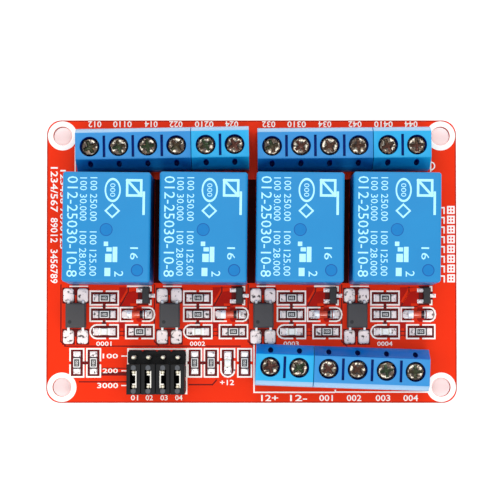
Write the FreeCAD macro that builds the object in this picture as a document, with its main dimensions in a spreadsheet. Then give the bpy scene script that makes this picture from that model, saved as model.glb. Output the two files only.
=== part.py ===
# Four-channel relay module board: a drilled board with four sealed relays,
# eighteen rising-clamp terminals, a jumper header and the small driver parts.
# The origin is the middle of the mounting-hole pattern on the board's underside.
# X runs along the board, Y towards the output terminals, Z up from the board.
import FreeCAD, Part
import os
import re
import Sketcher

doc = FreeCAD.newDocument("RelayModule")
sheet = doc.addObject("Spreadsheet::Sheet", "Sizes")

SIZES = {
    # board
    "board_length": 72.5,
    "board_width": 50.0,
    "board_thick": 1.6,
    "board_corner": 2.5,
    "mount_spacing_long": 67.0,
    "mount_spacing_wide": 44.5,
    "mount_hole": 3.2,
    "pin_hole_slack": 0.2,
    "pin_tip": 1.9,
    # relays
    "relay_first_x": -24.8,
    "relay_pitch": 16.55,
    "relay_near_y": -4.17,
    "relay_width": 15.2,
    "relay_length": 19.0,
    "relay_height": 15.4,
    "relay_draft": 0.35,
    "relay_turn": -0.6,
    "relay_corner": 0.3,
    "relay_rim": 0.3,
    # relay pins, from the relay's middle
    "coil_pin_x": 6.0,
    "coil_pin_y": -5.5,
    "common_pin_y": -7.5,
    "contact_pin_x": 6.1,
    "contact_pin_y": 6.7,
    "relay_pin_wide": 1.0,
    "relay_pin_thick": 0.6,
    # terminal runs: each is a four-pole and a two-pole block side by side, and the
    # output runs stand a gap beyond the relays
    "left_run_x": -15.5,
    "left_run_gap": 0.99,
    "left_run_turn": 1.0,
    "right_run_x": 16.1,
    "right_run_gap": 1.02,
    "right_run_turn": 0.5,
    "input_run_x": 15.75,
    "input_run_y": -19.0,
    "input_run_turn": 178.0,
    "pole_pitch": 5.0,
    "block_gap": 0.1,
    # terminal housing, from the screw's axis and the board's top
    "block_height": 10.0,
    "block_front": 3.3,
    "block_front_top": 2.4,
    "block_front_slope": 7.6,
    "block_back": 3.9,
    "block_back_top": 2.2,
    "block_back_slope": 5.4,
    "head_bore": 3.45,
    "ledge_opening": 2.7,
    "ledge_top": 7.9,
    "cavity_top": 7.3,
    "cavity_width": 3.8,
    "cavity_depth": 4.7,
    "mouth_floor": 0.7,
    "mouth_top": 4.6,
    "slot_width": 0.45,
    "slot_length": 3.75,
    "slot_depth": 1.6,
    # terminal screw
    "head_diameter": 2.95,
    "head_height": 1.15,
    "head_lift": 0.05,
    "shank_diameter": 2.4,
    "shank_tip": 4.2,
    "recess_width": 0.55,
    "recess_span": 2.3,
    "recess_depth": 0.7,
    # wire clamp, lowered to its open place
    "clamp_width": 3.5,
    "clamp_depth": 4.4,
    "clamp_floor": 0.3,
    "clamp_height": 4.9,
    "clamp_plate": 0.8,
    "clamp_side": 0.5,
    "thread_slack": 0.05,
    # contact bar and its pin
    "contact_width": 2.2,
    "contact_floor": 3.3,
    "contact_thick": 0.8,
    "contact_front": 2.2,
    "contact_leg_middle": -2.8,
    "contact_leg_width": 1.1,
    "contact_leg_thick": 0.6,
    "leg_slack": 0.1,
    # jumper header
    "pin_pitch": 2.54,
    "header_x": -16.65,
    "header_y": -19.5,
    "header_height": 2.5,
    "header_notch": 0.35,
    "header_pin": 0.64,
    "header_pin_top": 8.5,
    "header_pin_tip": 1.4,
    "header_pin_slack": 0.02,
    # jumper cap and its clip
    "cap_width": 2.4,
    "cap_length": 5.2,
    "cap_lift": 0.05,
    "cap_top": 8.65,
    "cap_roof": 0.7,
    "cap_room_length": 4.0,
    "window_width": 1.2,
    "window_length": 3.35,
    "clip_gap": 0.02,
    "clip_thick": 0.22,
    "clip_length": 3.0,
    "clip_reach": 0.75,
    "clip_fit": 0.02,
    "clip_drop": 0.3,
    # optocouplers, from each channel's middle
    "opto_x": -6.2,
    "opto_y": -9.6,
    "opto_width": 3.6,
    "opto_length": 4.4,
    "opto_height": 2.0,
    "opto_lift": 0.1,
    "opto_edge": 0.25,
    "opto_lead_width": 0.4,
    "opto_lead_thick": 0.2,
    "opto_lead_span": 7.0,
    "opto_shoulder": 1.1,
    # transistors
    "sot_x": 6.1,
    "sot_y": -6.05,
    "sot_width": 1.3,
    "sot_length": 2.9,
    "sot_height": 0.95,
    "sot_lift": 0.1,
    "sot_lead_width": 0.42,
    "sot_lead_thick": 0.12,
    "sot_lead_span": 2.4,
    "sot_lead_pitch": 1.9,
    "sot_shoulder": 0.5,
    # diodes
    "diode_x": 4.57,
    "diode_y": -9.4,
    "diode_length": 3.5,
    "diode_diameter": 1.5,
    # chip parts: their size, and their places from each channel's middle
    "chip_length": 2.0,
    "chip_width": 1.25,
    "chip_height": 0.5,
    "lens_length": 1.1,
    "lens_height": 0.45,
    "chip_column_x": -1.2,
    "chip_right_x": 5.06,
    "chip_row_1": -6.45,
    "chip_row_2": -9.4,
    "chip_row_3": -12.45,
    # upright chip parts beside the header and the input terminals
    "upright_row_y": -18.0,
    "upright_1_x": -30.85,
    "upright_2_x": -27.9,
    "upright_3_x": -10.04,
    "upright_4_x": -7.13,
    "upright_5_x": -1.22,
    "power_led_x": -4.2,
}

for row, (alias, value) in enumerate(SIZES.items(), start=1):
    sheet.set(f"A{row}", alias.replace("_", " "))
    sheet.set(f"B{row}", str(value))
    sheet.setAlias(f"B{row}", alias)
doc.recompute()

CHANNELS = range(4)
POLES = {"a": range(4), "b": range(2)}
RUNS = {"left": "left_run", "right": "right_run", "input": "input_run"}
RELAY_ROW = "(relay_near_y + relay_length / 2)"
RUN_ROWS = {
    "left_run": "(relay_near_y + relay_length + left_run_gap + block_back)",
    "right_run": "(relay_near_y + relay_length + right_run_gap + block_back)",
    "input_run": "input_run_y",
}
BOARD_TOP = "board_thick"
PIN_FLOOR = "-pin_tip"
PRISM_SIDES = 8
pieces = []


# Sizes, places and simple solids

def on_sheet(formula):
    """Point each size named in a formula at its cell."""
    return re.sub(r"[a-z][a-z_0-9]*", lambda word: cell_of(word.group()), formula)


def cell_of(word):
    return f"Sizes.{word}" if word in SIZES else word


def bind(thing, prop, formula):
    thing.setExpression(prop, on_sheet(formula))


def place(thing, x="0", y="0", z="0", turn=None):
    for axis, formula in zip("xyz", (x, y, z)):
        bind(thing, f"Placement.Base.{axis}", formula)
    if turn:
        bind(thing, "Placement.Rotation.Angle", turn)


def box(name, size, middle=("0", "0"), floor="0"):
    """A box by its size, the middle of its plan and the height of its floor."""
    thing = doc.addObject("Part::Box", name)
    for prop, formula in zip(("Length", "Width", "Height"), size):
        bind(thing, prop, formula)
    place(thing, f"{middle[0]} - ({size[0]}) / 2", f"{middle[1]} - ({size[1]}) / 2", floor)
    return thing


def cylinder(name, diameter, height, floor="0"):
    thing = doc.addObject("Part::Cylinder", name)
    bind(thing, "Radius", f"{diameter} / 2")
    bind(thing, "Height", height)
    place(thing, z=floor)
    return thing


def prism(name, diameter, height, floor="0", inside=False):
    """An upright rod with a few flat sides inside a circle, or a bore with them outside it."""
    thing = doc.addObject("Part::Prism", name)
    thing.Polygon = PRISM_SIDES
    widening = f"cos(180 deg / {PRISM_SIDES})" if inside else "1"
    bind(thing, "Circumradius", f"{diameter} / 2 / {widening}")
    bind(thing, "Height", height)
    place(thing, z=floor)
    return thing


def fuse(name, shapes):
    thing = doc.addObject("Part::MultiFuse", name)
    thing.Shapes = shapes
    thing.Refine = True
    return thing


def cut(name, base, tool):
    thing = doc.addObject("Part::Cut", name)
    thing.Base = base
    thing.Tool = tool
    return thing


def together(name, shapes):
    """Separate solids that are kept as one sub-part."""
    thing = doc.addObject("Part::Compound", name)
    thing.Links = shapes
    return thing


def keep(thing):
    pieces.append(thing)
    return thing


# Sketches and features of a body

def new_body(name):
    return doc.addObject("PartDesign::Body", name)


def new_sketch(body, name, role, height="0"):
    """A sketch on one of the body's own planes, moved along the plane's normal."""
    plane = next(part for part in body.Origin.OriginFeatures if part.Role == role)
    sketch = body.newObject("Sketcher::SketchObject", f"{body.Name}_{name}")
    sketch.AttachmentSupport = [(plane, "")]
    sketch.MapMode = "FlatFace"
    bind(sketch, "AttachmentOffset.Base.z", height)
    return sketch


def number(formula):
    """The value that a formula has now, to start a sketch near its solution."""
    named = re.sub(r"[a-z][a-z_0-9]*", lambda word: str(SIZES.get(word.group(), word.group())), formula)
    return FreeCAD.Units.Quantity(named).Value


def hold_point(sketch, line, end, x, y):
    for kind, formula in (("DistanceX", x), ("DistanceY", y)):
        held = sketch.addConstraint(Sketcher.Constraint(kind, -1, 1, line, end, number(formula)))
        bind(sketch, f"Constraints[{held}]", formula)


def draw_outline(sketch, corners):
    """A closed outline of straight lines with each corner held to its formulas."""
    first = sketch.GeometryCount
    spots = [FreeCAD.Vector(number(x), number(y), 0) for x, y in corners]
    for start, end in zip(spots, spots[1:] + spots[:1]):
        sketch.addGeometry(Part.LineSegment(start, end), False)
    for step, (x, y) in enumerate(corners):
        following = first + (step + 1) % len(corners)
        sketch.addConstraint(Sketcher.Constraint("Coincident", first + step, 2, following, 1))
        hold_point(sketch, first + step, 1, x, y)


def draw_rectangle(sketch, wide, tall, middle=("0", "0")):
    x, y = middle
    left, right = f"{x} - ({wide}) / 2", f"{x} + ({wide}) / 2"
    low, high = f"{y} - ({tall}) / 2", f"{y} + ({tall}) / 2"
    draw_outline(sketch, [(left, low), (right, low), (right, high), (left, high)])


def draw_circle(sketch, diameter, middle=("0", "0")):
    spot = FreeCAD.Vector(number(middle[0]), number(middle[1]), 0)
    radius = f"{diameter} / 2"
    line = sketch.addGeometry(Part.Circle(spot, FreeCAD.Vector(0, 0, 1), number(radius)), False)
    held = sketch.addConstraint(Sketcher.Constraint("Radius", line, number(radius)))
    bind(sketch, f"Constraints[{held}]", radius)
    hold_point(sketch, line, 3, *middle)


def pad(body, sketch, length, both_ways=False):
    feature = body.newObject("PartDesign::Pad", f"{sketch.Name}_pad")
    feature.Profile = sketch
    feature.Midplane = both_ways
    bind(feature, "Length", length)
    return feature


def pocket(body, sketch, depth, upwards=False):
    feature = body.newObject("PartDesign::Pocket", f"{sketch.Name}_pocket")
    feature.Profile = sketch
    feature.Reversed = upwards
    bind(feature, "Length", depth)
    return feature


def repeat(body, sketch, features, count, spacing):
    """Copies of some features along the sketch's own X axis."""
    pattern = body.newObject("PartDesign::LinearPattern", f"{sketch.Name}_row")
    pattern.Originals = features
    pattern.Direction = (sketch, ["H_Axis"])
    bind(pattern, "Length", f"({count} - 1) * ({spacing})")
    pattern.Occurrences = count
    body.Tip = pattern
    return pattern


def edges_where(feature, test):
    """Names of the edges of a feature's shape that pass a test."""
    edges = feature.Shape.Edges
    return [f"Edge{step}" for step, edge in enumerate(edges, start=1) if test(edge)]


def is_upright(edge):
    ends = edge.Vertexes
    flat = abs(ends[0].X - ends[-1].X) + abs(ends[0].Y - ends[-1].Y)
    return flat < 0.5 and abs(ends[0].Z - ends[-1].Z) > 0.5


def bevel_edges(body, feature, test, size):
    doc.recompute()
    bevel = body.newObject("PartDesign::Chamfer", f"{feature.Name}_bevel")
    bevel.Base = (feature, edges_where(feature, test))
    bind(bevel, "Size", size)
    return bevel


# Places that several pieces share

def relay_x(channel):
    return f"(relay_first_x + {channel} * relay_pitch)"


RELAY_PINS = (
    ("coil_1", "-coil_pin_x", "coil_pin_y"),
    ("coil_2", "coil_pin_x", "coil_pin_y"),
    ("common", "0", "common_pin_y"),
    ("contact_1", "-contact_pin_x", "contact_pin_y"),
    ("contact_2", "contact_pin_x", "contact_pin_y"),
)


def block_middle(block):
    """The middle of a block along its run, which is centred on the pair."""
    shift = {"a": -len(POLES["b"]), "b": len(POLES["a"])}[block]
    side = {"a": "-", "b": "+"}[block]
    return f"({shift} * pole_pitch / 2 {side} block_gap / 2)"


def pole_places():
    """Each pole of a run: its number in the run and its place along it."""
    numbers = 0
    for block, poles in POLES.items():
        for pole in poles:
            numbers += 1
            yield numbers, f"({block_middle(block)} + ({pole} - ({len(poles)} - 1) / 2) * pole_pitch)"


def seat_on_run(thing, run, along, height=BOARD_TOP):
    """Put a piece on a terminal run, at a distance along it from its middle."""
    turn = f"{run}_turn"
    place(
        thing,
        f"{run}_x + {along} * cos({turn} * 1 deg)",
        f"{RUN_ROWS[run]} + {along} * sin({turn} * 1 deg)",
        height,
        turn,
    )


HEADER_PINS = [
    (column, line, f"(header_x + ({column} - 1.5) * pin_pitch)", f"(header_y + ({line} - 1) * pin_pitch)")
    for column in range(4)
    for line in range(3)
]


# Board

def make_board():
    body = new_body("board_plate")
    plan = new_sketch(body, "plan", "XY_Plane")
    draw_rectangle(plan, "board_length", "board_width")
    plate = pad(body, plan, "board_thick")
    doc.recompute()
    rounding = body.newObject("PartDesign::Fillet", "board_corners")
    rounding.Base = (plate, edges_where(plate, is_upright))
    bind(rounding, "Radius", "board_corner")
    holes = new_sketch(body, "mounting_holes", "XY_Plane")
    for side in ("-", ""):
        draw_circle(holes, "mount_hole", ("-mount_spacing_long / 2", f"{side}mount_spacing_wide / 2"))
    drilled = pocket(body, holes, "board_thick", upwards=True)
    repeat(body, holes, [drilled], 2, "mount_spacing_long")
    return keep(cut("board", body, fuse("pin_holes", pin_hole_tools())))


def pin_hole_tools():
    tools = []
    for channel in CHANNELS:
        for pin, x, y in RELAY_PINS:
            middle = (f"{relay_x(channel)} + {x}", f"{RELAY_ROW} + {y}")
            tools.append(pin_hole(f"relay_{channel + 1}_{pin}_hole", "relay_pin_wide", "relay_pin_thick", middle))
    for column, line, x, y in HEADER_PINS:
        tools.append(pin_hole(f"header_hole_{column}_{line}", "header_pin", "header_pin", (x, y)))
    for side, run in RUNS.items():
        legs = []
        for pole, along in pole_places():
            middle = (along, "contact_leg_middle")
            legs.append(pin_hole(f"{side}_hole_{pole}", "contact_leg_width", "contact_leg_thick", middle))
        row = together(f"{side}_run_holes", legs)
        seat_on_run(row, run, "0", "0")
        tools.append(row)
    return tools


def pin_hole(name, wide, thick, middle):
    size = (f"{wide} + 2 * pin_hole_slack", f"{thick} + 2 * pin_hole_slack", "3 * board_thick")
    return box(name, size, middle, "-board_thick")


# Relays: a sealed case on its base, with five pins below

def make_relay(channel):
    body = new_body(f"relay_{channel + 1}")
    plan = new_sketch(body, "plan", "XY_Plane")
    draw_rectangle(plan, "relay_width", "relay_length")
    case = pad(body, plan, "relay_height")
    bind(case, "TaperAngle", "-relay_draft")
    corners = bevel_edges(body, case, is_upright, "relay_corner")
    top = number("relay_height")
    bevel_edges(body, corners, lambda edge: edge.BoundBox.ZMin > top - 0.01, "relay_rim")
    place(body, relay_x(channel), RELAY_ROW, BOARD_TOP, "relay_turn")
    return keep(body)


def make_relay_pins():
    pins = []
    for channel in CHANNELS:
        for pin, x, y in RELAY_PINS:
            size = ("relay_pin_wide", "relay_pin_thick", f"{BOARD_TOP} + pin_tip")
            middle = (f"{relay_x(channel)} + {x}", f"{RELAY_ROW} + {y}")
            pins.append(box(f"relay_{channel + 1}_{pin}_pin", size, middle, PIN_FLOOR))
    return keep(together("relay_pins", pins))


# Terminal blocks: a moulded housing over each row of screws, clamps and contacts

def make_housing(side, run, block):
    poles = len(POLES[block])
    body = new_body(f"terminal_block_{side}_{block}")
    first = f"-({poles} - 1) * pole_pitch / 2"
    profile = new_sketch(body, "profile", "YZ_Plane")
    draw_outline(profile, [
        ("-block_back", "0"),
        ("block_front", "0"),
        ("block_front", "block_front_slope"),
        ("block_front_top", "block_height"),
        ("-block_back_top", "block_height"),
        ("-block_back", "block_back_slope"),
    ])
    pad(body, profile, f"{poles} * pole_pitch", both_ways=True)
    bore = new_sketch(body, "head_bore", "XY_Plane", "block_height")
    draw_circle(bore, "head_bore", (first, "0"))
    well = pocket(body, bore, "block_height - ledge_top")
    neck = new_sketch(body, "ledge_opening", "XY_Plane", "ledge_top")
    draw_rectangle(neck, "ledge_opening", "ledge_opening", (first, "0"))
    throat = pocket(body, neck, "ledge_top - cavity_top")
    room = new_sketch(body, "cavity", "XY_Plane")
    draw_rectangle(room, "cavity_width", "cavity_depth", (first, "0"))
    cavity = pocket(body, room, "cavity_top", upwards=True)
    shaft = new_sketch(body, "leg_shaft", "XY_Plane")
    rear = "contact_leg_middle - contact_leg_thick / 2 - leg_slack"
    half = "(contact_width / 2 + leg_slack)"
    draw_outline(shaft, [
        (f"{first} - {half}", rear),
        (f"{first} + {half}", rear),
        (f"{first} + {half}", "-cavity_depth / 2 + leg_slack"),
        (f"{first} - {half}", "-cavity_depth / 2 + leg_slack"),
    ])
    leg_room = pocket(body, shaft, "contact_floor + contact_thick + leg_slack", upwards=True)
    mouth = new_sketch(body, "mouth", "XZ_Plane", "-block_front")
    draw_outline(mouth, [
        (f"{first} - cavity_width / 2", "mouth_floor"),
        (f"{first} + cavity_width / 2", "mouth_floor"),
        (f"{first} + cavity_width / 2", "mouth_top"),
        (f"{first} - cavity_width / 2", "mouth_top"),
    ])
    entry = pocket(body, mouth, "block_front", upwards=True)
    repeat(body, bore, [well, throat, cavity, leg_room, entry], poles, "pole_pitch")
    slots = new_sketch(body, "slots", "XY_Plane", "block_height")
    for gap in range(1, poles):
        draw_rectangle(slots, "slot_width", "slot_length", (f"({gap} - {poles} / 2) * pole_pitch", "0"))
    body.Tip = pocket(body, slots, "slot_depth")
    seat_on_run(body, run, block_middle(block))
    return keep(body)


def make_screw(name, run, along):
    """A cross-recessed screw: its shank is left as a prism inside the thread's core."""
    seat = "(ledge_top + head_lift)"
    top = f"({seat} + head_height)"
    head = cylinder(f"{name}_head", "head_diameter", "head_height", seat)
    shank = prism(f"{name}_shank", "shank_diameter", f"{seat} - shank_tip", "shank_tip")
    arms = [
        box(f"{name}_arm_1", ("recess_span", "recess_width", "2 * recess_depth"), floor=f"{top} - recess_depth"),
        box(f"{name}_arm_2", ("recess_width", "recess_span", "2 * recess_depth"), floor=f"{top} - recess_depth"),
    ]
    screw = cut(name, fuse(f"{name}_blank", [head, shank]), fuse(f"{name}_recess", arms))
    seat_on_run(screw, run, along)
    return keep(screw)


def make_clamp(name, run, along):
    """A ring folded from strip, with its thread in the upper plate."""
    ring = box(f"{name}_ring", ("clamp_width", "clamp_depth", "clamp_height"), floor="clamp_floor")
    window_size = ("clamp_width - 2 * clamp_side", "2 * clamp_depth", "clamp_height - 2 * clamp_plate")
    window = box(f"{name}_window", window_size, floor="clamp_floor + clamp_plate")
    thread_floor = "clamp_floor + clamp_height - 1.5 * clamp_plate"
    bore = "(shank_diameter + 2 * thread_slack)"
    thread = prism(f"{name}_thread", bore, "2 * clamp_plate", thread_floor, inside=True)
    clamp = cut(name, ring, fuse(f"{name}_openings", [window, thread]))
    seat_on_run(clamp, run, along)
    return keep(clamp)


def make_contact(name, run, along):
    rear = "(contact_leg_middle - contact_leg_thick / 2)"
    bar_size = ("contact_width", f"contact_front - {rear}", "contact_thick")
    bar = box(f"{name}_bar", bar_size, ("0", f"(contact_front + {rear}) / 2"), "contact_floor")
    drop = "contact_floor + contact_thick / 2 + board_thick + pin_tip"
    leg_size = ("contact_leg_width", "contact_leg_thick", drop)
    leg = box(f"{name}_leg", leg_size, ("0", "contact_leg_middle"), "-board_thick - pin_tip")
    contact = fuse(name, [bar, leg])
    seat_on_run(contact, run, along)
    return contact


def make_terminals():
    contacts = []
    for side, run in RUNS.items():
        for block in POLES:
            make_housing(side, run, block)
        for pole, along in pole_places():
            make_screw(f"terminal_screw_{side}_{pole}", run, along)
            make_clamp(f"wire_clamp_{side}_{pole}", run, along)
            contacts.append(make_contact(f"{side}_contact_{pole}", run, along))
    return keep(together("terminal_contacts", contacts))


# Jumper header: a notched moulding pressed over three rows of square pins

def make_header():
    body = new_body("header_moulding")
    plan = new_sketch(body, "plan", "XY_Plane")
    draw_outline(plan, header_outline())
    pad(body, plan, "header_height")
    place(body, "header_x", "header_y", BOARD_TOP)
    holes = []
    pins = []
    for column, line, x, y in HEADER_PINS:
        hole_side = "header_pin + 2 * header_pin_slack"
        hole_size = (hole_side, hole_side, "3 * header_height")
        holes.append(box(f"base_hole_{column}_{line}", hole_size, (x, y), "-header_height"))
        pin_size = ("header_pin", "header_pin", f"{BOARD_TOP} + header_pin_tip + header_pin_top")
        pins.append(box(f"header_pin_{column}_{line}", pin_size, (x, y), "-header_pin_tip"))
    keep(cut("header_base", body, fuse("base_holes", holes)))
    keep(together("header_pins", pins))


def header_outline():
    """The plan of the moulding: four cells by three, with a notch between cells."""
    wide, deep = "2 * pin_pitch", "1.5 * pin_pitch"
    corners = []
    for sign_x, sign_y, cells in ((1, -1, 4), (1, 1, 3), (-1, 1, 4), (-1, -1, 3)):
        along_x = cells == 4
        for cell in range(cells):
            start = f"({cell} - {cells} / 2) * pin_pitch"
            for step in ("header_notch", "pin_pitch - header_notch"):
                run = f"({start} + {step})"
                x = run if along_x else wide
                y = deep if along_x else run
                if along_x:
                    corners.append((f"{-sign_y} * {x}", f"{sign_y} * {y}"))
                else:
                    corners.append((f"{sign_x} * {x}", f"{sign_x} * {y}"))
            if cell < cells - 1:
                inner = f"({start} + pin_pitch)"
                if along_x:
                    corners.append((f"{-sign_y} * {inner}", f"{sign_y} * ({deep} - header_notch)"))
                else:
                    corners.append((f"{sign_x} * ({wide} - header_notch)", f"{sign_x} * {inner}"))
    return corners


# Jumpers: a hollow cap over two pins, with a folded spring clip inside

def make_jumper(column):
    name = f"jumper_{column + 1}"
    side = -1 if column == 2 else 1
    base = "header_height + cap_lift"
    height = f"cap_top - ({base})"
    shell = box(f"{name}_shell", ("cap_width", "cap_length", height), floor=base)
    clip_outer = "(header_pin / 2 + clip_gap + clip_thick)"
    room_size = (f"2 * ({clip_outer} + clip_fit)", "cap_room_length", f"{height} - cap_roof")
    room = box(f"{name}_room", room_size, floor=base)
    window = box(f"{name}_window", ("window_width", "window_length", "2 * cap_top"))
    cap = cut(f"{name}_cap", shell, fuse(f"{name}_opening", [room, window]))
    clip_floor = "header_height + 2 * cap_roof"
    clip_height = "cap_top - clip_drop - header_height - 2 * cap_roof"
    spine_x = f"{side} * ({clip_outer} - clip_thick / 2)"
    spine = box(f"{name}_spine", ("clip_thick", "clip_length", clip_height), (spine_x, "0"), clip_floor)
    tab_y = "(pin_pitch / 2 - header_pin / 2 - clip_gap - clip_thick / 2)"
    tab_x = f"{side} * ({clip_outer} - clip_reach / 2)"
    tabs = [
        box(f"{name}_tab_{end}", ("clip_reach", "clip_thick", clip_height), (tab_x, f"{way} * {tab_y}"), clip_floor)
        for end, way in (("com", 1), ("high", -1))
    ]
    clip = fuse(f"{name}_clip", [spine] + tabs)
    jumper = together(name, [cap, clip])
    x = f"header_x + ({column} - 1.5) * pin_pitch"
    place(jumper, x, "header_y - pin_pitch / 2", BOARD_TOP)
    return keep(jumper)


# Small parts of each channel

def lead(name, side, x, size):
    """A bent lead: an upright limb beside the case and a flat foot on the board."""
    wide, thick, span, case, shoulder = size
    foot_middle = f"{side} * ({span} + {case}) / 4"
    foot = box(f"{name}_foot", (wide, f"({span} - {case}) / 2", thick), (x, foot_middle))
    limb_middle = f"{side} * ({case} + {thick}) / 2"
    limb = box(f"{name}_limb", (wide, thick, shoulder), (x, limb_middle))
    return [foot, limb]


def make_optocoupler(channel):
    name = f"optocoupler_{channel + 1}"
    body = new_body(f"{name}_case")
    plan = new_sketch(body, "plan", "XY_Plane", "opto_lift")
    draw_rectangle(plan, "opto_width", "opto_length")
    case = pad(body, plan, "opto_height")
    top = number("opto_lift + opto_height")
    bevel_edges(body, case, lambda edge: edge.BoundBox.ZMin > top - 0.01, "opto_edge")
    size = ("opto_lead_width", "opto_lead_thick", "opto_lead_span", "opto_length", "opto_shoulder")
    metal = []
    for side in (1, -1):
        for end in (1, -1):
            metal += lead(f"{name}_lead_{side}_{end}".replace("-1", "2"), side, f"{end} * pin_pitch / 2", size)
    chip = fuse(name, [body] + metal)
    place(chip, f"{relay_x(channel)} + opto_x", "opto_y", BOARD_TOP)
    return chip


def make_transistor(channel):
    name = f"transistor_{channel + 1}"
    case_size = ("sot_length", "sot_width", "sot_height")
    case = box(f"{name}_case", case_size, floor="sot_lift")
    size = ("sot_lead_width", "sot_lead_thick", "sot_lead_span", "sot_width", "sot_shoulder")
    metal = []
    for leg, side, x in (("1", 1, "sot_lead_pitch / 2"), ("2", 1, "-sot_lead_pitch / 2"), ("3", -1, "0")):
        metal += lead(f"{name}_lead_{leg}", side, x, size)
    chip = fuse(name, [case] + metal)
    place(chip, f"{relay_x(channel)} + sot_x", "sot_y", BOARD_TOP, "90")
    return chip


def make_diode(channel):
    glass = doc.addObject("Part::Cylinder", f"diode_{channel + 1}")
    glass.Placement.Rotation = FreeCAD.Rotation(FreeCAD.Vector(0, 1, 0), 90)
    bind(glass, "Radius", "diode_diameter / 2")
    bind(glass, "Height", "diode_length")
    x = f"{relay_x(channel)} + diode_x - diode_length / 2"
    place(glass, x, "diode_y", f"{BOARD_TOP} + diode_diameter / 2")
    return glass


def make_chip(name, x, y, upright=False):
    size = ["chip_length", "chip_width"]
    if upright:
        size.reverse()
    return box(name, (*size, "chip_height"), (x, y), BOARD_TOP)


def make_led(name, x, y, upright=False):
    base = make_chip(f"{name}_base", x, y, upright)
    size = ["lens_length", "chip_width"]
    if upright:
        size.reverse()
    lens = box(f"{name}_lens", (*size, "lens_height"), (x, y), f"{BOARD_TOP} + chip_height")
    return fuse(name, [base, lens])


def make_small_parts():
    optocouplers, transistors, diodes, resistors, leds = [], [], [], [], []
    for channel in CHANNELS:
        label = channel + 1
        middle = relay_x(channel)
        optocouplers.append(make_optocoupler(channel))
        transistors.append(make_transistor(channel))
        diodes.append(make_diode(channel))
        leds.append(make_led(f"led_{label}", f"{middle} + chip_column_x", "chip_row_3"))
        for spot, x, y in (
            ("a", "chip_column_x", "chip_row_1"),
            ("b", "chip_column_x", "chip_row_2"),
            ("c", "chip_right_x", "chip_row_3"),
        ):
            resistors.append(make_chip(f"resistor_{label}_{spot}", f"{middle} + {x}", y))
    for upright in range(1, 6):
        x = f"upright_{upright}_x"
        resistors.append(make_chip(f"resistor_upright_{upright}", x, "upright_row_y", upright=True))
    leds.append(make_led("led_power", "power_led_x", "upright_row_y", upright=True))
    keep(together("optocouplers", optocouplers))
    keep(together("transistors", transistors))
    keep(together("diodes", diodes))
    keep(together("chip_resistors", resistors))
    keep(together("leds", leds))


make_board()
for channel in CHANNELS:
    make_relay(channel)
make_relay_pins()
make_terminals()
make_header()
for column in range(4):
    make_jumper(column)
make_small_parts()
doc.recompute()

for thing in doc.Objects:
    if {"Invalid", "Error"} & set(thing.State):
        raise RuntimeError(f"{thing.Name} failed: {thing.State}")
for piece in pieces:
    if piece.Shape.isNull() or not piece.Shape.isValid():
        raise RuntimeError(f"{piece.Label} has no valid shape")

os.makedirs("parts", exist_ok=True)
for piece in pieces:
    piece.Shape.exportStep(f"parts/{piece.Label}.step")
print(len(pieces), "sub-parts,", sum(len(piece.Shape.Solids) for piece in pieces), "solids")
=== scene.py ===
import math
import bpy
from mathutils import Matrix, Vector


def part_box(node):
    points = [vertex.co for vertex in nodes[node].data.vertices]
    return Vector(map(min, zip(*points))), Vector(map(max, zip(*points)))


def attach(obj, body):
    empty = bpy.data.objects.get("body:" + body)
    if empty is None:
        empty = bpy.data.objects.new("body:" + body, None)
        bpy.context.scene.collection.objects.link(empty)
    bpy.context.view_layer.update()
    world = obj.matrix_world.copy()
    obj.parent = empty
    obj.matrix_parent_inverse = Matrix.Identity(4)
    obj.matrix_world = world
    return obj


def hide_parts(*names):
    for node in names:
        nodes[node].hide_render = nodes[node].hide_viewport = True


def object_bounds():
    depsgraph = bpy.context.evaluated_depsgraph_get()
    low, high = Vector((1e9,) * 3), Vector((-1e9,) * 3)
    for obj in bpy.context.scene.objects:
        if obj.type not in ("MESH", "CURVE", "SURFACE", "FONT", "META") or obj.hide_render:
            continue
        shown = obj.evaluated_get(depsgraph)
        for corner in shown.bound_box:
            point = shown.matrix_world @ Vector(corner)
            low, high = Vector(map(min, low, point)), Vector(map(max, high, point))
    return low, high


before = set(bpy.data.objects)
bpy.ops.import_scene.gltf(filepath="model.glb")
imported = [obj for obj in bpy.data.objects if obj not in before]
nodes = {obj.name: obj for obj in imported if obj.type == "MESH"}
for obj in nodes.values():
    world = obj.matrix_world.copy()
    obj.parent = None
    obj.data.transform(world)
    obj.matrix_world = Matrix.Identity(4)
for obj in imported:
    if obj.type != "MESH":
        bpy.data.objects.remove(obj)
cad_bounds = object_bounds()
MM = 0.001

# Camera, light and floor.
# The photograph looks down on the board from about 420 mm above its lower half, leaning
# a little towards its middle. An even white room and two soft lamps light it.
scene = bpy.context.scene
scene.view_settings.view_transform = "Standard"
board_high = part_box("board")[1]
TOP = board_high.z / MM
PHOTO_WIDTH = 500
PIXELS_PER_MM = 5.65
MIDDLE_X = -0.27
CAMERA_HIGH = 418.0
camera_place = Vector((MIDDLE_X, -15.0, TOP + CAMERA_HIGH)) * MM
aim_place = Vector((MIDDLE_X, 2.0, TOP)) * MM
bpy.ops.object.camera_add(location=camera_place)
camera = bpy.context.object
camera.rotation_euler = (aim_place - camera_place).to_track_quat("-Z", "Y").to_euler()
camera.data.sensor_width = 36.0
reach = (aim_place - camera_place).length
camera.data.lens = camera.data.sensor_width * reach / (PHOTO_WIDTH / PIXELS_PER_MM * MM)
camera.data.clip_start = 0.01
camera.data.clip_end = 20
scene.camera = camera

ROOM_LIGHT = 1.14
LAMP_HIGH = 0.8
LAMP_SIZE = 0.3
for lamp_y, lamp_power in ((-0.4, 1.6), (0.4, 1.2)):
    bpy.ops.object.light_add(type="AREA", location=(0.0, lamp_y, LAMP_HIGH))
    lamp = bpy.context.object
    lamp.data.shape = "DISK"
    lamp.data.size = LAMP_SIZE
    lamp.data.energy = lamp_power
    lamp.rotation_euler = (-lamp.location).to_track_quat("-Z", "Y").to_euler()


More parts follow.
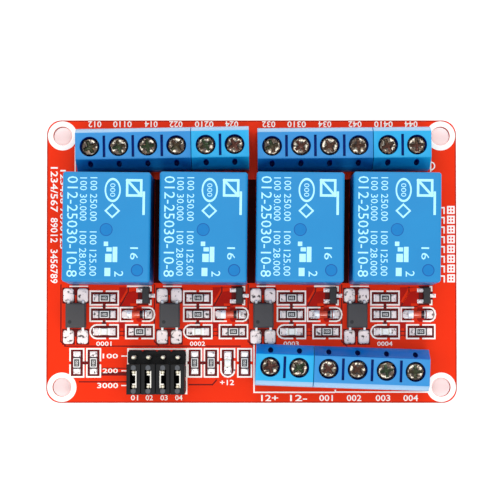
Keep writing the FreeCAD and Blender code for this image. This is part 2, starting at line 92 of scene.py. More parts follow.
class Amount:
    """A socket's value that can be added, multiplied and compared in a formula."""

    def __init__(self, finish, socket):
        self.finish = finish
        self.socket = socket

    def maths(self, operation, first, second=0.0):
        return self.finish.add("ShaderNodeMath", {"operation": operation}, {0: first, 1: second})

    def __add__(self, other):
        return self.maths("ADD", self, other)

    def __sub__(self, other):
        return self.maths("SUBTRACT", self, other)

    def __rsub__(self, other):
        return self.maths("SUBTRACT", other, self)

    def __mul__(self, other):
        return self.maths("MULTIPLY", self, other)

    def __gt__(self, other):
        return self.maths("GREATER_THAN", self, other)

    def __lt__(self, other):
        return self.maths("LESS_THAN", self, other)

    def __abs__(self):
        return self.maths("ABSOLUTE", self)

    def or_more(self, other):
        return self.maths("MAXIMUM", self, other)

    __radd__ = __add__
    __rmul__ = __mul__


class Finish:
    """A material, or a world, whose nodes are added in plain steps."""

    def __init__(self, name, owner=None):
        self.owner = owner or bpy.data.materials.new(name)
        self.owner.use_nodes = True
        self.tree = self.owner.node_tree
        self.tree.nodes.clear()

    def add(self, kind, settings=None, inputs=None, output=0):
        node = self.tree.nodes.new(kind)
        for name, value in (settings or {}).items():
            setattr(node, name, value)
        for name, value in (inputs or {}).items():
            if isinstance(value, Amount):
                self.tree.links.new(value.socket, node.inputs[name])
            else:
                node.inputs[name].default_value = value
        return Amount(self, node.outputs[output]) if node.outputs else None

    def place(self):
        return self.add("ShaderNodeTexCoord", output="Object")

    def along(self, axis):
        return self.add("ShaderNodeSeparateXYZ", inputs={"Vector": self.place()}, output="XYZ".index(axis))

    def cloud(self, size, detail=2.0, roughness=0.5):
        """Soft spots of about this size in millimetres, from 0 to 1."""
        scale = 1 / (size * MM)
        inputs = {"Vector": self.place(), "Scale": scale, "Detail": detail, "Roughness": roughness}
        return self.add("ShaderNodeTexNoise", inputs=inputs)

    def steps(self, value, low, high):
        """The value drawn out so that low becomes 0 and high becomes 1."""
        return self.add("ShaderNodeMapRange", inputs={"Value": value, "From Min": low, "From Max": high})

    def blend(self, share, first, second):
        inputs = {"Factor": share, 6: first, 7: second}
        return self.add("ShaderNodeMix", {"data_type": "RGBA"}, inputs, output=2)

    def bump(self, height, depth):
        inputs = {"Height": height, "Distance": depth * MM, "Strength": 1.0}
        return self.add("ShaderNodeBump", inputs=inputs)

    def surface(self, **inputs):
        named = {name.replace("_", " "): value for name, value in inputs.items()}
        shader = self.add("ShaderNodeBsdfPrincipled", inputs=named)
        self.add("ShaderNodeOutputMaterial", inputs={"Surface": shader})
        return self.owner


WHITE = (1.0, 1.0, 1.0, 1.0)
PAPER_GREY = (0.93, 0.93, 0.93, 1.0)
scene.world = bpy.data.worlds.new("even_room")
room = Finish("even_room", scene.world)
to_camera = room.add("ShaderNodeLightPath", output="Is Camera Ray")
through_glass = room.add("ShaderNodeLightPath", output="Is Transmission Ray")
room_strength = to_camera.or_more(through_glass) * (1 - ROOM_LIGHT) + ROOM_LIGHT
even_light = room.add("ShaderNodeBackground", inputs={"Color": WHITE, "Strength": room_strength})
room.add("ShaderNodeOutputWorld", inputs={"Surface": even_light})


def settle():
    """Put the piece's place, turn and size into its mesh."""
    bpy.ops.object.transform_apply(location=True, rotation=True, scale=True)
    return bpy.context.object


FLOOR_SIZE = 3.0
FLOOR_GLOW = 0.3
bpy.ops.mesh.primitive_plane_add(size=FLOOR_SIZE, location=(0, 0, cad_bounds[0][2]))
floor = settle()
floor.name = "floor"
paper = Finish("white_paper")
paper_shade = paper.add("ShaderNodeBsdfDiffuse", inputs={"Color": PAPER_GREY})
paper_glow = paper.add("ShaderNodeEmission", inputs={"Color": WHITE, "Strength": FLOOR_GLOW})
paper_seen = paper.add("ShaderNodeLightPath", output="Is Camera Ray")
paper_lift = paper.add("ShaderNodeMixShader", inputs={0: paper_seen, 2: paper_glow})
paper_sum = paper.add("ShaderNodeAddShader", inputs={0: paper_shade, 1: paper_lift})
paper_clear = paper.add("ShaderNodeBsdfTransparent")
from_below = paper.add("ShaderNodeNewGeometry", output="Backfacing")
paper_mix = paper.add("ShaderNodeMixShader", inputs={0: from_below, 1: paper_sum, 2: paper_clear})
paper.add("ShaderNodeOutputMaterial", inputs={"Surface": paper_mix})
floor.data.materials.append(paper.owner)

# Circuit board.
# Glass-fibre laminate, 1.6 mm thick, routed to shape, with red solder mask on both
# faces. The mask lies smooth and glossy, and its cut edges show the bare laminate.
MODULE = "module"
HALF_LONG, HALF_WIDE = board_high.x / MM, board_high.y / MM
EDGE_WIDE = 0.22
MASK_THICK = 0.03
LIGHT_SHARE = 0.8


def plain(red, green, blue, strength=1.0):
    """A screen colour, from 0 to 255, as the linear colour that a socket takes."""
    shares = [value / 255 for value in (red, green, blue)]
    linear = [share / 12.92 if share < 0.04 else ((share + 0.055) / 1.055) ** 2.4 for share in shares]
    return (*[share * strength for share in linear], 1.0)


def paint(red, green, blue):
    """A surface that comes out in this colour under the bright light here."""
    return plain(red, green, blue, LIGHT_SHARE)


mask = Finish("red_solder_mask")
from_core = abs(mask.along("Z") - TOP / 2 * MM)
on_face = from_core > (TOP / 2 - MASK_THICK) * MM
near_end = abs(mask.along("X")) > (HALF_LONG - EDGE_WIDE) * MM
near_side = abs(mask.along("Y")) > (HALF_WIDE - EDGE_WIDE) * MM
mottle = mask.cloud(3.0, detail=3.0)
mask_colour = mask.blend(mottle * 0.3, paint(255, 52, 4), paint(248, 34, 0))
mask_colour = mask.blend(near_end.or_more(near_side) * 0.6, mask_colour, paint(120, 10, 4))
laminate = mask.blend(mask.cloud(0.4), paint(206, 60, 36), paint(160, 30, 16))


def dress(node, material):
    """Give a CAD node its finish."""
    mesh = nodes[node].data
    mesh.materials.clear()
    mesh.materials.append(material)


mask_material = mask.surface(
    Base_Color=mask.blend(on_face, laminate, mask_colour),
    Roughness=0.3 + mottle * 0.1,
    Normal=mask.bump(mask.cloud(0.9), 0.01),
    Specular_IOR_Level=0.1,
)
dress("board", mask_material)

# Gaps in the copper.
# Each face of the board has one large copper pour under its mask. Gaps etched in it, and
# the bare laminate round the small parts, show through deep red. The dark strips between
# the relays are painted shadow.
# Each relay has a channel of small parts below it. Six more stand upright by the header.
CHANNEL_X = [-24.8 + 16.55 * channel for channel in range(4)]
UPRIGHT_X = [-30.85, -27.9, -10.04, -7.13, -4.2, -1.22]
UPRIGHT_Y = -17.95
ROW_1, ROW_2, ROW_3 = -6.5, -9.4, -12.45
LED_SPOT = (-1.25, ROW_3)
LAND_SPOTS = ((-1.25, ROW_1), (-1.25, ROW_2), LED_SPOT, (5.06, ROW_3))
SUPPLY_LED = 4
PADS_X = (-7.54, -5.03)
PADS_Y = (-6.07, -13.35)
HAIR = 0.0004


def switch(mode):
    """Go into edit mode, or back to object mode."""
    bpy.ops.object.mode_set(mode=mode)


def deselect():
    if bpy.context.object and bpy.context.object.mode != "OBJECT":
        switch("OBJECT")
    bpy.ops.object.select_all(action="DESELECT")


class Layer:
    """Flat shapes of one thickness that lie at one height."""

    def __init__(self, name, height, thickness):
        deselect()
        bpy.ops.mesh.primitive_cube_add(size=MM)
        self.piece = bpy.context.object
        self.piece.name = self.piece.data.name = name
        self.height = height
        self.thickness = thickness
        self.count = 0
        switch("EDIT")
        bpy.ops.mesh.select_all(action="SELECT")
        bpy.ops.mesh.delete(type="VERT")

    def depth(self):
        """Each shape is a hair thicker than the last, so that no two tops share a plane."""
        self.count += 1
        return self.thickness + HAIR * (self.count % 9)

    def patch(self, x, y, wide, tall, turn=0.0):
        depth = self.depth()
        bpy.ops.mesh.primitive_cube_add(
            size=1.0, location=(x * MM, y * MM, (self.height + depth / 2) * MM),
            rotation=(0, 0, math.radians(turn)), scale=(wide * MM, tall * MM, depth * MM),
        )

    def line(self, points, width, shift=0.0):
        points = [(x + shift, y) for x, y in points]
        for (x1, y1), (x2, y2) in zip(points, points[1:]):
            length = math.hypot(x2 - x1, y2 - y1)
            turn = math.degrees(math.atan2(y2 - y1, x2 - x1))
            self.patch((x1 + x2) / 2, (y1 + y2) / 2, length + width, width, turn)

    def disc(self, x, y, radius, sides=24):
        depth = self.depth()
        bpy.ops.mesh.primitive_cylinder_add(
            vertices=sides, radius=radius * MM, depth=depth * MM,
            location=(x * MM, y * MM, (self.height + depth / 2) * MM),
        )

    def arc(self, x, y, radius, width, start, end, stretch=1.0, steps=8):
        angles = [math.radians(start + (end - start) * step / steps) for step in range(steps + 1)]
        tall = radius * stretch
        self.line([(x + radius * math.cos(angle), y + tall * math.sin(angle)) for angle in angles], width)

    def ring(self, x, y, radius, width, stretch=1.0):
        """A full ring, a little thicker in the middle of its stroke than at its rims."""
        place = (x * MM, y * MM, self.height * MM)
        bpy.ops.mesh.select_all(action="DESELECT")
        bpy.ops.mesh.primitive_torus_add(
            location=place, major_radius=radius * MM, minor_radius=width / 2 * MM,
            major_segments=40, minor_segments=6,
        )
        flat = 2 * self.thickness / width
        bpy.ops.transform.resize(value=(1, stretch, flat), center_override=place)

    def finished(self):
        switch("OBJECT")
        return self.piece


def keep(piece, material, body=MODULE, stands_for=()):
    """Give a piece its material, unless it has some, and its body, and hide the CAD parts it stands for."""
    if material:
        piece.data.materials.clear()
        piece.data.materials.append(material)
    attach(piece, body)
    if stands_for:
        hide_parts(*stands_for)
    return piece


def mottled(name, first, second, size, dull, swing=0.0, swing_size=None, detail=2.0, **sockets):
    """A finish with two colours in soft spots, whose roughness swings a little if asked."""
    finish = Finish(name)
    colour = finish.blend(finish.cloud(size, detail), first, second)
    roughness = dull + finish.cloud(swing_size) * swing if swing else dull
    return finish.surface(Base_Color=colour, Roughness=roughness, **sockets)


low_copper = Layer("mask_over_low_copper", TOP, 0.003)
for middle in CHANNEL_X:
    low_copper.patch(middle + 3.2, -6.3, 3.6, 3.4)
    low_copper.patch(middle + 4.6, -9.4, 5.6, 2.6)
    low_copper.patch(middle + 1.9, -11.2, 1.2, 4.4)
low_material = mottled(
    "mask_over_low_copper", paint(216, 24, 2), paint(180, 12, 0),
    size=2.2, dull=0.3, swing=0.1, swing_size=0.8, Specular_IOR_Level=0.1,
)
keep(low_copper.finished(), low_material)
pour = Layer("copper_pour", TOP + 0.002, 0.008)
for middle in CHANNEL_X:
    pour.line([(1.9, -7.0), (3.0, -5.1), (4.6, -4.9)], 0.6, middle)
    pour.line([(4.3, -11.0), (3.9, -10.6), (3.9, -8.0)], 1.1, middle)
    pour.line([(1.85, -12.1), (1.85, -13.4)], 0.5, middle)
keep(pour.finished(), mask_material)
gaps = Layer("copper_gaps", TOP + 0.004, 0.008)
for middle in CHANNEL_X:
    for x, y in LAND_SPOTS:
        gaps.patch(middle + x, y, 4.7, 2.15)
    gaps.patch(middle + 2.65, ROW_2, 1.6, 2.2)
    gaps.patch(middle + 6.6, ROW_2, 1.8, 2.2)
    gaps.patch(middle + 5.95, -6.05, 2.5, 3.4)
    gaps.line([(1.55, -8.0), (3.0, -5.4), (3.0, -4.6)], 0.22, middle)
    gaps.line([(1.55, -8.0), (4.4, -8.0)], 0.18, middle)
    gaps.line([(1.4, -12.4), (2.5, -12.4)], 0.16, middle)
    gaps.line([(1.4, -13.1), (2.5, -13.1)], 0.16, middle)
    gaps.patch(middle - 6.3, -4.6, 1.2, 2.8)
    gaps.patch(middle - 6.3, -12.6, 0.9, 1.4)
    for y in (ROW_1 - 1.45, ROW_2 - 1.5):
        gaps.patch(middle - 1.25, y, 0.85, 0.7)
    gaps.line([(-8.9, -4.2), (-8.9, -14.2), (-8.0, -15.0)], 0.2, middle)
    for x in PADS_X:
        for y in PADS_Y:
            gaps.patch(middle + x, y, 2.25, 2.8)
for points, width in (
    ([(-33.0, -15.0), (-31.5, -15.0), (-22.6, -15.0), (-2.0, -15.0)], 0.2),
    ([(-26.5, -19.9), (-22.0, -19.9)], 0.6),
    ([(-26.5, -18.9), (-22.0, -18.9)], 0.16),
    ([(-30.4, -21.3), (-22.0, -21.3)], 0.2),
    ([(-11.0, -21.8), (-6.9, -21.8), (-6.2, -21.0)], 0.22),
    ([(-11.3, -19.0), (-11.3, -16.9)], 0.3),
):
    gaps.line(points, width)
for x in (UPRIGHT_X[0] + 1.47, UPRIGHT_X[2] + 1.45, UPRIGHT_X[2] - 1.45, UPRIGHT_X[3] + 1.45):
    gaps.patch(x, UPRIGHT_Y, 0.9, 0.75)
for x in UPRIGHT_X:
    gaps.patch(x, UPRIGHT_Y, 2.15, 4.7)
bare = Finish("mask_over_bare_laminate")
bare_material = bare.surface(
    Base_Color=bare.blend(bare.cloud(1.6), paint(132, 4, 2), paint(84, 0, 2)),
    Roughness=0.28 + bare.cloud(0.6) * 0.12,
    Normal=bare.bump(bare.cloud(0.3), 0.006),
    Specular_IOR_Level=0.15,
)
keep(gaps.finished(), bare_material)
RELAY_TURN = -0.6
relay_low, relay_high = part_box("relay_1")
RELAY_Y = (relay_low.y + relay_high.y) / 2 / MM
STRIP_WIDE = 1.3
STRIP_LONG = (relay_high.y - relay_low.y) / MM - 0.8
# Dark strips on the board between the relays: painted shadow, where the narrow gaps lie in deep shade.
shadow_strips = Layer("painted_shadow_between_relays", TOP + 0.004, 0.006)
for left, right in zip(CHANNEL_X, CHANNEL_X[1:]):
    shadow_strips.patch((left + right) / 2, RELAY_Y, STRIP_WIDE, STRIP_LONG, turn=RELAY_TURN)
painted_shadow_material = mottled(
    "painted_shadow_strip", paint(70, 4, 4), paint(44, 0, 2),
    size=1.6, dull=0.5, swing=0.12, swing_size=0.6, Specular_IOR_Level=0.05,
)
keep(shadow_strips.finished(), painted_shadow_material)

# Screen print.
# White epoxy ink in one thin layer: a ring round each mounting hole, a box round each
# small part, and plain numbers and marks by the terminals and the header.
INK_THICK = 0.02
INK_LINE = 0.27
BOLD = 0.014
MOUNT_X, MOUNT_Y = 33.5, 22.25


def turned(degrees):
    """A turn about the upright axis."""
    return Matrix.Rotation(math.radians(degrees), 4, "Z")


def figures(text, x, y, tall, length, height, turn=0.0, bold=BOLD):
    """Printed figures, centred on a place, as a mesh that lies at a height."""
    deselect()
    bpy.ops.object.text_add()
    made = bpy.context.object
    made.data.body = text
    made.data.resolution_u = 2
    made.data.extrude = 0.5
    made.data.offset = bold
    bpy.ops.object.convert(target="MESH")
    made = bpy.context.object
    corners = [Vector(corner) for corner in made.bound_box]
    low = Vector([min(corner[axis] for corner in corners) for axis in range(3)])
    size = Vector([max(corner[axis] for corner in corners) for axis in range(3)]) - low
    grow = tall * MM / size.y
    stretch = length * MM / size.x
    made.data.transform(Matrix.Translation(-low - size / 2))
    made.data.transform(Matrix.Diagonal((stretch, grow, INK_THICK * MM, 1)))
    made.data.transform(turned(turn))
    made.data.transform(Matrix.Translation((x * MM, y * MM, (height + INK_THICK / 2) * MM)))
    return made


def joined(name, parts):
    """Several pieces made one."""
    deselect()
    for part in parts:
        part.select_set(True)
    bpy.context.view_layer.objects.active = parts[0]
    bpy.ops.object.join()
    parts[0].name = parts[0].data.name = name
    return parts[0]


ink = Layer("screen_print", TOP + 0.008, INK_THICK)
for x in (-MOUNT_X, MOUNT_X):
    for y in (-MOUNT_Y, MOUNT_Y):
        ink.ring(x, y, 2.12, 0.94)


def ink_line(start, end, gap):
    """A straight printed line, with a break in its middle if it has a gap."""
    if not gap:
        ink.line([start, end], INK_LINE)
        return
    span = math.hypot(end[0] - start[0], end[1] - start[1])
    for near, far in ((start, end), (end, start)):
        share = (span - gap) / 2 / span
        stop = (near[0] + (far[0] - near[0]) * share, near[1] + (far[1] - near[1]) * share)
        ink.line([near, stop], INK_LINE)


def ink_box(x, y, wide, tall, gap_across=0.0, gap_up=0.0, round_side=None):
    """A printed box, with breaks in its sides and one side rounded if asked."""
    left, right, low, high = x - wide / 2, x + wide / 2, y - tall / 2, y + tall / 2
    bend = min(wide, tall) / 2
    shift_x = bend if round_side == "left" else 0
    shift_y = bend if round_side == "low" else 0
    for level in (low, high):
        if not (round_side == "low" and level == low):
            ink_line((left + shift_x, level), (right, level), gap_across)
    for side in (left, right):
        if not (round_side == "left" and side == left):
            ink_line((side, low + shift_y), (side, high), gap_up)
    if round_side == "left":
        ink.arc(left + bend, y, bend, INK_LINE, 90, 270)
    if round_side == "low":
        ink.arc(x, low + bend, bend, INK_LINE, 180, 360)


for channel, middle in enumerate(CHANNEL_X):
    for x, y in LAND_SPOTS:
        led_mark = "left" if (x, y) == LED_SPOT else None
        ink_box(middle + x, y, 4.95, 2.4, gap_across=0.8, round_side=led_mark)
    for level in (-1.2, 1.2):
        y = ROW_2 + level
        ink.line([(1.6, y), (3.75, y)], INK_LINE, middle)
        ink.line([(5.55, y), (6.75, y)], INK_LINE, middle)
    ink.line([(1.6, ROW_2 - 1.2), (1.6, ROW_2 + 1.2)], INK_LINE, middle)
    ink.arc(middle + 6.75, ROW_2, 0.9, INK_LINE, -90, 90, stretch=1.33, steps=6)
    ink.line([(6.75, -4.5), (7.0, -4.5), (7.0, -5.2)], INK_LINE, middle)
    ink.line([(6.75, -7.65), (7.0, -7.65), (7.0, -6.95)], INK_LINE, middle)
    ink.line([(-7.3, -4.42), (-4.2, -4.42)], 0.2, middle)
    if channel in (0, 2):
        ink.line([(2.9, -4.42), (6.4, -4.42)], 0.28, middle)
for place, x in enumerate(UPRIGHT_X):
    ink_box(x, UPRIGHT_Y, 2.4, 4.95, gap_up=0.8, round_side="low" if place == SUPPLY_LED else None)
HEADER_X, HEADER_Y = -16.65, -19.4
ink_box(HEADER_X, HEADER_Y - 0.03, 10.35, 7.85)
for y in (-16.75, -19.35, -21.95):
    ink.line([(-22.9, y), (-21.7, y)], 0.2)
ink.line([(0.44, -14.9), (0.44, -23.15), (14.6, -23.15)], 0.24)
ink.line([(14.8, -22.8), (14.8, -23.1), (31.0, -23.1)], 0.24)
ink.line([(31.75, 23.0), (31.75, 16.0)], 0.24)
ink.arc(31.75, 16.9, 0.7, 0.2, -90, 90)
ink.line([(-31.25, 20.2), (-31.25, 16.0)], 0.2)
for step in range(8):
    y = 9.1 - step * 1.73
    ink_box(35.3, y, 1.1, 1.15)
    ink.line([(34.8, y), (35.8, y)], 0.22)
    ink.line([(35.3, y - 0.5), (35.3, y + 0.5)], 0.22)
    ink.line([(33.5, y + 0.4), (34.1, y + 0.4), (34.1, y - 0.6)], 0.24)
ink_parts = [ink.finished()]
TOP_LABELS = (
    ("012", -27.8, 2.35), ("0110", -22.9, 3.3), ("014", -17.8, 2.3),
    ("022", -13.4, 2.35), ("0210", -8.4, 3.3), ("024", -3.5, 2.3),
    ("032", 3.05, 2.35), ("0310", 8.0, 3.3), ("034", 13.0, 2.3),
    ("042", 18.35, 2.35), ("0410", 23.4, 3.3), ("044", 28.3, 2.3),
)
INPUT_LABELS = (
    ("12+", 3.2, 3.0), ("12-", 8.3, 3.0), ("001", 13.15, 2.4),
    ("002", 18.1, 2.6), ("003", 23.2, 2.6), ("004", 28.1, 2.6),
)
for labels, y, turn in ((TOP_LABELS, 24.33, 180), (INPUT_LABELS, -24.15, 0)):
    for text, x, length in labels:
        ink_parts.append(figures(text, x, y, 1.1, length, TOP, turn))
for text, x, y, tall, length, turn in (
    ("100", -24.95, -16.75, 0.85, 2.7, 0),
    ("200", -24.95, -19.35, 0.85, 2.7, 0),
    ("3000", -25.4, -21.95, 0.95, 3.7, 0),
    ("+12", -4.33, -21.4, 0.95, 2.5, 0),
    ("1234/567", -34.95, 12.7, 1.3, 8.0, -90),
    ("89012", -34.95, 5.5, 1.3, 4.4, -90),
    ("3456789", -34.95, -0.9, 1.3, 6.0, -90),
    ("123456 7890123", -33.4, 9.2, 1.0, 14.0, -90),
):
    ink_parts.append(figures(text, x, y, tall, length, TOP, turn))
for place, middle in enumerate(CHANNEL_X):
    number = str(place + 1)
    ink_parts.append(figures(f"0{number}", -20.67 + 2.61 * place, -24.1, 0.95, 1.3, TOP))
    ink_parts.append(figures(f"000{number}", middle - 1.3, -14.57, 0.8, 2.7, TOP))
white_ink = Finish("white_screen_ink")
ink_wear = white_ink.cloud(0.3, detail=3.0) * 0.5
ink_material = white_ink.surface(
    Base_Color=white_ink.blend(ink_wear, plain(255, 250, 244), plain(252, 222, 208)),
    Roughness=0.5 + white_ink.cloud(0.2) * 0.2,
)
keep(joined("screen_print", ink_parts), ink_material)

# Solder pads.
# Copper lands levelled with tin, on which the small parts stand.
SMOOTH_ANGLE = 40
tin = Finish("bright_tin")
tin_reflection_cloud = tin.cloud(0.5, detail=3.0)
# White tin with dark spots: the dark spots are painted reflections of dark things nearby.
tin_material = tin.surface(
    Base_Color=tin.blend(tin.steps(tin_reflection_cloud, 0.58, 0.7), plain(255, 255, 255), plain(96, 92, 96)),
    Metallic=0.12,
    Roughness=0.22 + tin_reflection_cloud * 0.25,
    Normal=tin.bump(tin.cloud(0.35), 0.05),
)


def take(piece):
    """Select one piece alone and make it the active one."""
    deselect()
    piece.select_set(True)
    bpy.context.view_layer.objects.active = piece


def soften(piece, width, segments=2, angle=30.0):
    """Round the sharp edges, as a mould or a die leaves them."""
    take(piece)
    if width:
        bpy.ops.object.modifier_add(type="BEVEL")
        rounding = piece.modifiers[-1]
        rounding.width = width * MM
        rounding.segments = segments
        rounding.limit_method = "ANGLE"
        rounding.angle_limit = math.radians(angle)
        bpy.ops.object.modifier_apply(modifier=rounding.name)
    bpy.ops.object.shade_smooth_by_angle(angle=math.radians(SMOOTH_ANGLE))


def rounded_block(name, size, middle, edge, material, segments=2):
    """A block by its size and the middle of its underside, with rounded edges."""
    deselect()
    wide, deep, tall = size
    x, y, z = middle
    bpy.ops.mesh.primitive_cube_add(size=1.0, location=(x * MM, y * MM, (z + tall / 2) * MM))
    block = bpy.context.object
    block.name = block.data.name = name
    block.scale = (wide * MM, deep * MM, tall * MM)
    settle()
    soften(block, edge, segments)
    block.data.materials.append(material)
    return block


def pick(piece, test):
    """Select the points of a piece whose places, in millimetres, pass a test."""
    bpy.context.view_layer.objects.active = piece
    switch("EDIT")
    bpy.ops.mesh.select_mode(type="VERT")
    bpy.ops.mesh.select_all(action="DESELECT")
    switch("OBJECT")
    for point in piece.data.vertices:
        point.select = test(point.co / MM)
    switch("EDIT")


def narrow(piece, above, x_share, y_share):
    """Draw the points over a height in towards the middle, as a mould's draft does."""
    pick(piece, lambda point: point.z > above)
    bpy.ops.transform.resize(value=(x_share, y_share, 1), center_override=(0, 0, 0))
    switch("OBJECT")


def set_down(model, name, places, stands_for=()):
    """Copies of a piece set down at places, each with its turn, made one and kept."""
    copies = []
    for x, y, turn in places:
        copy = model.copy()
        copy.data = model.data.copy()
        copy.data.transform(Matrix.Translation((x * MM, y * MM, 0)) @ turned(turn))
        bpy.context.collection.objects.link(copy)
        copies.append(copy)
    bpy.data.objects.remove(model)
    keep(joined(name, copies), None, stands_for=stands_for)


TRANSISTOR_PADS = ((4.95, -5.14), (4.95, -7.1), (7.22, -6.1))
pad_layer = Layer("solder_pads", TOP + 0.002, 0.03)
for middle in CHANNEL_X:
    for x in PADS_X:
        for y in PADS_Y:
            pad_layer.patch(middle + x, y, 1.9, 1.4)
            pad_layer.patch(middle + x, y, 0.9, 2.4)
            for side in (-1, 1):
                pad_layer.disc(middle + x + side * 0.45, y - 0.7, 0.5)
                pad_layer.disc(middle + x + side * 0.45, y + 0.7, 0.5)
    for x, y in LAND_SPOTS:
        for side in (-1, 1):
            pad_layer.patch(middle + x + side * 1.5, y, 0.95, 1.25)
    for x in (2.75, 6.5):
        pad_layer.patch(middle + x, ROW_2, 1.2, 1.4)
    for x, y in TRANSISTOR_PADS:
        pad_layer.patch(middle + x, y, 1.0, 0.65)
for x in UPRIGHT_X:
    for side in (-1, 1):
        pad_layer.patch(x, UPRIGHT_Y + side * 1.5, 1.25, 0.95)
keep(pad_layer.finished(), tin_material)

# Solder fillets on the small parts.
# Each is the tin that ran between a part's metal end and its land: high and narrow at
# the part, low and wide at the land's outer edge.
solder = Finish("shiny_solder")
solder_reflection_cloud = solder.cloud(0.65)
# Pale solder with dark spots: the dark spots are painted reflections of dark things nearby.
solder_material = solder.surface(
    Base_Color=solder.blend(
        solder.steps(solder_reflection_cloud, 0.56, 0.67), plain(246, 232, 230), plain(66, 58, 60)
    ),
    Metallic=0.12,
    Roughness=0.16 + solder_reflection_cloud * 0.2,
    Normal=solder.bump(solder.cloud(0.6), 0.05),
)
CHIP_LONG = 2.0


def solder_fillet():
    """One fillet that starts at x 0 and runs out along X."""
    fillet = rounded_block("solder_fillet", (1.05, 1.25, 0.36), (0.52, 0, TOP + 0.03), 0, solder_material)
    pick(fillet, lambda point: point.x < 0.1)
    bpy.ops.transform.resize(value=(1, 0.62, 1), center_override=(0, 0, 0))
    pick(fillet, lambda point: point.x > 0.5 and point.z > TOP + 0.2)
    bpy.ops.transform.translate(value=(-0.2 * MM, 0, -0.22 * MM))
    switch("OBJECT")
    soften(fillet, 0.12, 3)
    return fillet


CHIP_SPOTS = ((-1.2, ROW_1), (-1.2, ROW_2), (5.06, ROW_3))
flat_chips = [(middle + x, y) for middle in CHANNEL_X for x, y in CHIP_SPOTS]
flat_leds = [(middle - 1.2, ROW_3) for middle in CHANNEL_X]
upright_chips = [(x, UPRIGHT_Y) for place, x in enumerate(UPRIGHT_X) if place != SUPPLY_LED]
upright_led = (UPRIGHT_X[SUPPLY_LED], UPRIGHT_Y)
fillet_places = []
REACH = CHIP_LONG / 2 - 0.12
for x, y in flat_chips + flat_leds:
    fillet_places += [(x + REACH, y, 0), (x - REACH, y, 180)]
for x, y in upright_chips + [upright_led]:
    fillet_places += [(x, y + REACH, 90), (x, y - REACH, 270)]
set_down(solder_fillet(), "solder_fillets", fillet_places)

# Chip resistors.
# A white ceramic chip with a black film on top, its value printed in pale figures, and
# tinned ends that wrap round the ceramic.
ceramic_material = mottled("white_ceramic", plain(246, 245, 242), plain(226, 224, 220), size=0.2, dull=0.6)
film_material = mottled(
    "black_film", paint(34, 30, 34), paint(58, 54, 58),
    size=0.15, dull=0.35, swing=0.15, swing_size=0.3, detail=4.0,
)
chip_end_material = mottled(
    "chip_end", paint(92, 86, 90), paint(48, 44, 48),
    size=0.3, dull=0.3, swing=0.1, swing_size=0.2, Metallic=0.5,
)


def chip_resistor():
    body = rounded_block("ceramic", (1.9, 1.2, 0.42), (0, 0, TOP + 0.04), 0.03, ceramic_material)
    film_edge = rounded_block("film_edge", (1.62, 1.2, 0.05), (0, 0, TOP + 0.47), 0.01, ceramic_material)
    top_film = rounded_block("film", (1.3, 0.92, 0.035), (0, 0, TOP + 0.49), 0.01, film_material)
    ends = []
    for x in (0.1 - CHIP_LONG / 2, CHIP_LONG / 2 - 0.1):
        ends.append(rounded_block("end", (0.34, 1.25, 0.5), (x, 0, TOP + 0.01), 0.06, chip_end_material))
    value = figures("102", 0, 0, 0.46, 0.86, TOP + 0.522)
    value.data.materials.append(ceramic_material)
    return joined("chip_resistor", [body, film_edge, top_film, *ends, value])


chip_places = [(x, y, 0) for x, y in flat_chips] + [(x, y, 90) for x, y in upright_chips]
set_down(chip_resistor(), "chip_resistor_set", chip_places, ("chip_resistors",))

# Chip LEDs.
# A small white base with tinned ends and a clear lens moulded over the die. Four show
# which relays are on, and one shows the supply.
lens_material = mottled(
    "clear_lens", plain(255, 255, 252), plain(232, 240, 232),
    size=0.4, dull=0.12, swing=0.1, swing_size=0.3, Coat_Weight=0.6,
)
led_base_material = mottled(
    "led_base_plastic", plain(244, 240, 226), plain(226, 220, 200), size=0.2, dull=0.5
)


def chip_led():
    base = rounded_block("led_base", (1.9, 1.2, 0.34), (0, 0, TOP + 0.03), 0.03, led_base_material)
    dome = rounded_block("led_lens", (1.12, 1.18, 0.5), (0, 0, TOP + 0.36), 0.0, lens_material)
    narrow(dome, TOP + 0.6, 0.82, 0.9)
    soften(dome, 0.08, 3)
    die = rounded_block("led_die", (0.3, 0.3, 0.04), (0.1, 0, TOP + 0.86), 0.01, ceramic_material)
    ends = []
    for x in (0.15 - CHIP_LONG / 2, CHIP_LONG / 2 - 0.15):
        ends.append(rounded_block("led_end", (0.3, 1.25, 0.38), (x, 0, TOP + 0.01), 0.05, tin_material))
    return joined("chip_led", [base, dome, die, *ends])


led_places = [(x, y, 0) for x, y in flat_leds] + [(*upright_led, 90)]
set_down(chip_led(), "chip_led_set", led_places, ("leds",))

# Glass diodes.
# A small glass cylinder between two round tinned caps, lying across its two lands.
glass_material = mottled(
    "diode_glass", paint(255, 100, 50), paint(240, 60, 20),
    size=0.8, dull=0.08, swing=0.08, swing_size=0.5, Coat_Weight=0.8,
)
band_material = mottled("dark_glass_band", paint(36, 20, 22), paint(70, 30, 28), size=0.3, dull=0.2)
DIODE_LONG, DIODE_WIDE = 3.5, 1.5


def round_body(x, y, z, radius, length, sides=24, tilt=0.0):
    """A cylinder by the middle of its body, upright unless it is tilted."""
    deselect()
    bpy.ops.mesh.primitive_cylinder_add(
        vertices=sides, radius=radius * MM, depth=length * MM,
        location=(x * MM, y * MM, z * MM), rotation=(0, tilt, 0),
    )
    return settle()


def lying_cylinder(name, x, length, diameter, edge, material):
    """A round bar along X at the diode's height."""
    bar = round_body(x, 0, TOP + DIODE_WIDE / 2, diameter / 2, length, 28, math.pi / 2)
    soften(bar, edge, 2)
    bar.name = name
    bar.data.materials.append(material)
    return bar


